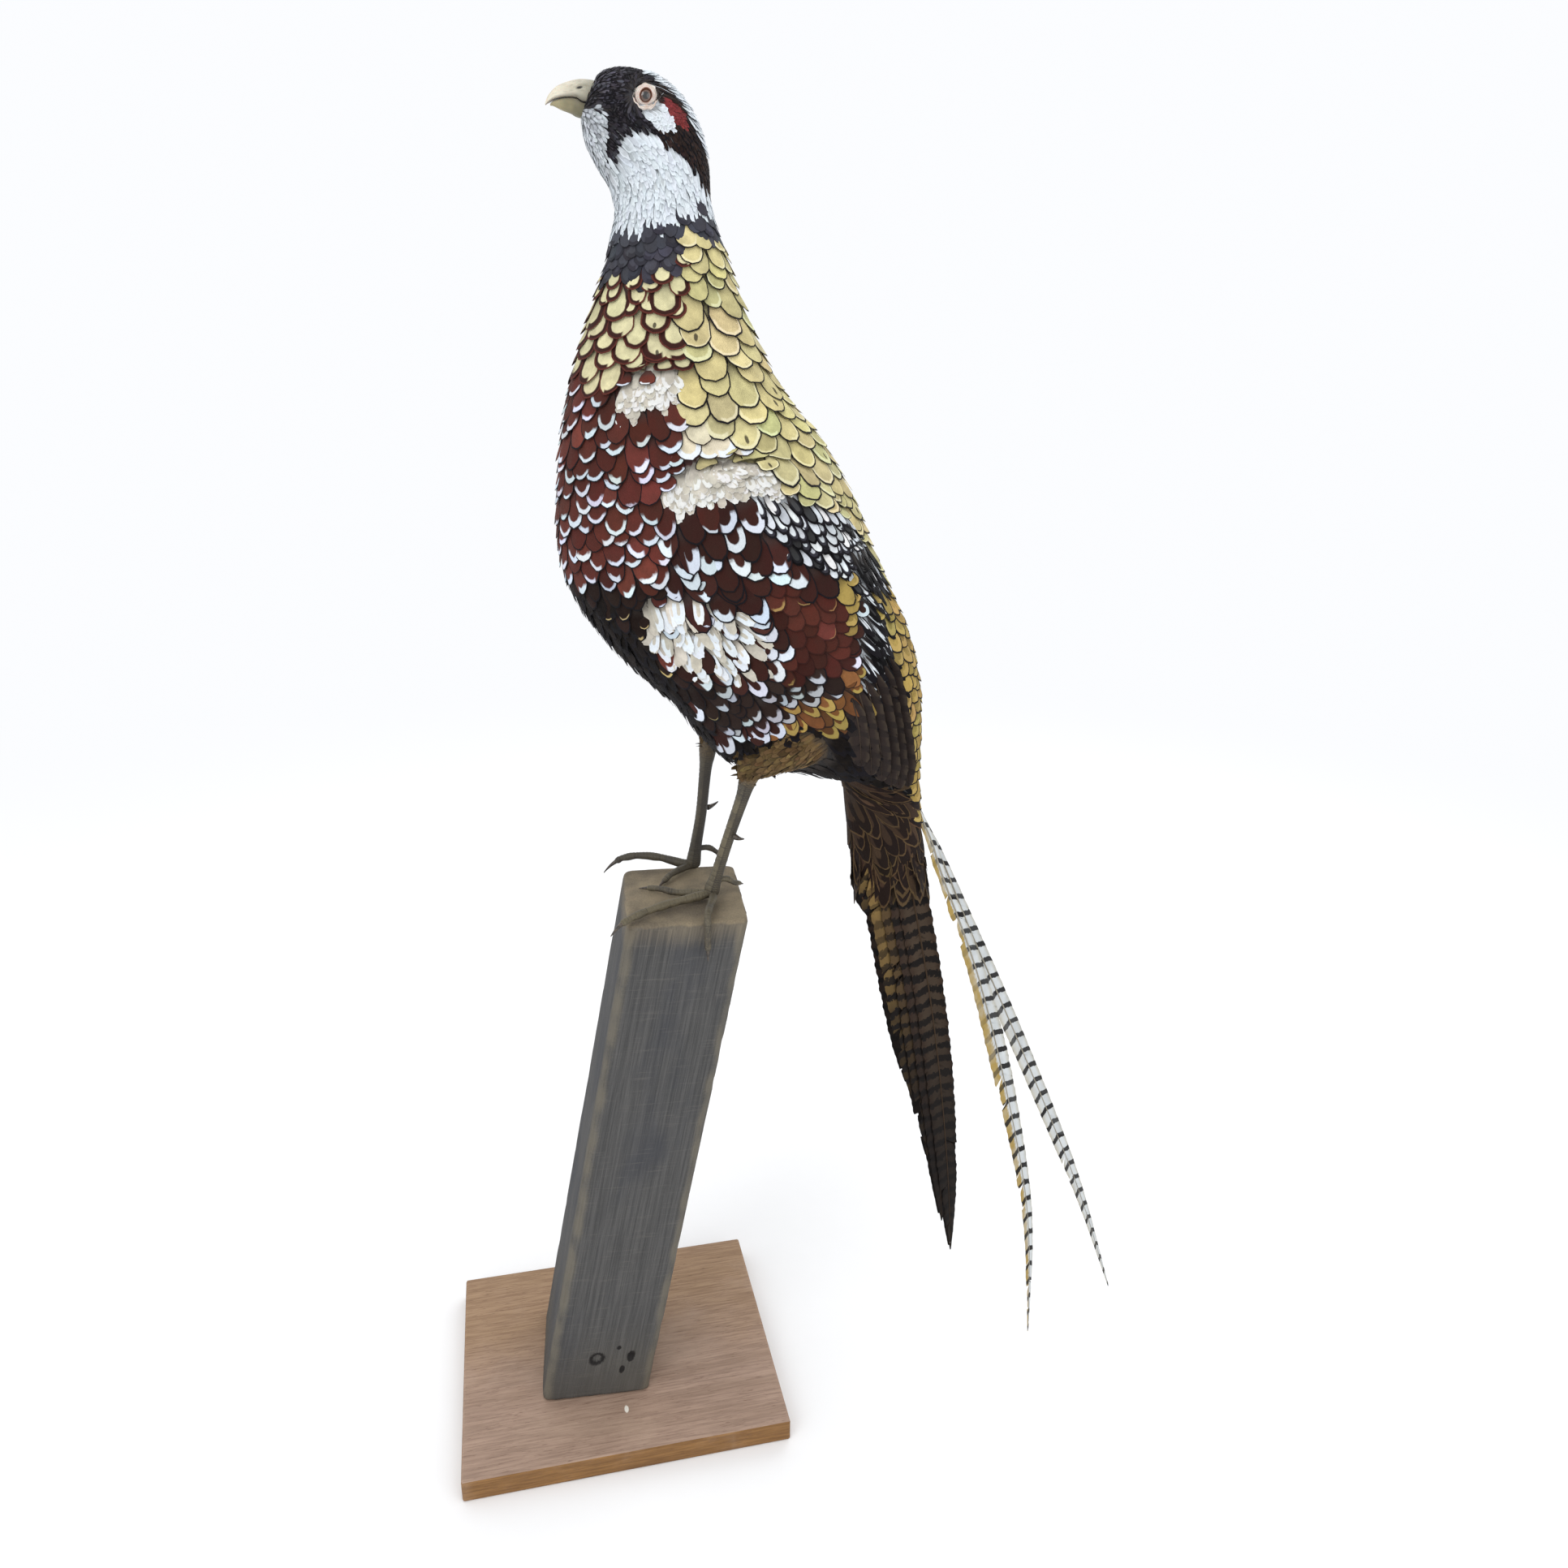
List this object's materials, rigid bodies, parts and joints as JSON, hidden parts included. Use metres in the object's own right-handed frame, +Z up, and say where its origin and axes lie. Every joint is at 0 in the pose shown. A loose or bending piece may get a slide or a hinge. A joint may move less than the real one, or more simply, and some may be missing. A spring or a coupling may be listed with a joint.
{
  "type": "mounted pheasant",
  "caption": "Taxidermy Reeves's pheasant cock, upright with folded wings and long barred tail, on a leaning timber post and a flat board.",
  "frame": {"origin": "middle of the board's underside", "axes": "+Z up, the bird faces -Y with its left side towards +X, and the board's edges lie along X and Y"},
  "size_m": [0.187, 0.5007, 0.8477],
  "materials": {
    "plumage_head": "matt black and white feathers over bare skin",
    "plumage_neck": "matt white and slate feathers",
    "plumage_body": "satin chestnut, white and gold feathers",
    "plumage_rump": "satin gold feathers with black edges",
    "plumage_leg": "matt buff feathers",
    "tail_brown": "satin brown barred feathers",
    "tail_white": "satin white feathers with dark bars",
    "horn": "satin horn",
    "leg_skin": "dry scaled skin",
    "claw": "satin dark horn",
    "eye": "polished glass eye",
    "post_wood": "weathered grey timber",
    "board_wood": "plain reddish board"
  },
  "bodies": {
    "root": {"bill_lower": "horn", "bill_upper": "horn", "claw_left_hind": "claw", "claw_left_inner": "claw", "claw_left_middle": "claw", "claw_left_outer": "claw", "claw_right_hind": "claw", "claw_right_inner": "claw", "claw_right_middle": "claw", "claw_right_outer": "claw", "eye_left": "eye", "eye_right": "eye", "head": "plumage_head", "neck": "plumage_neck", "rump": "plumage_rump", "spur_left": "claw", "spur_right": "claw", "stand_board": "board_wood", "stand_post": "post_wood", "tail_coverts": "tail_brown", "tail_left_1": "tail_brown", "tail_left_2": "tail_brown", "tail_left_3": "tail_brown", "tail_left_4": "tail_brown", "tail_left_5": "tail_brown", "tail_long_left": "tail_white", "tail_long_right": "tail_white", "tail_right_1": "tail_brown", "tail_right_2": "tail_brown", "tail_right_3": "tail_brown", "tail_right_4": "tail_brown", "tail_right_5": "tail_brown", "tarsus_left": "leg_skin", "tarsus_right": "leg_skin", "thigh_left": "plumage_leg", "thigh_right": "plumage_leg", "toe_left_hind": "leg_skin", "toe_left_inner": "leg_skin", "toe_left_middle": "leg_skin", "toe_left_outer": "leg_skin", "toe_right_hind": "leg_skin", "toe_right_inner": "leg_skin", "toe_right_middle": "leg_skin", "toe_right_outer": "leg_skin", "trunk": "plumage_body", "wing_left": "plumage_body", "wing_right": "plumage_body"}
  },
  "joints": []
}
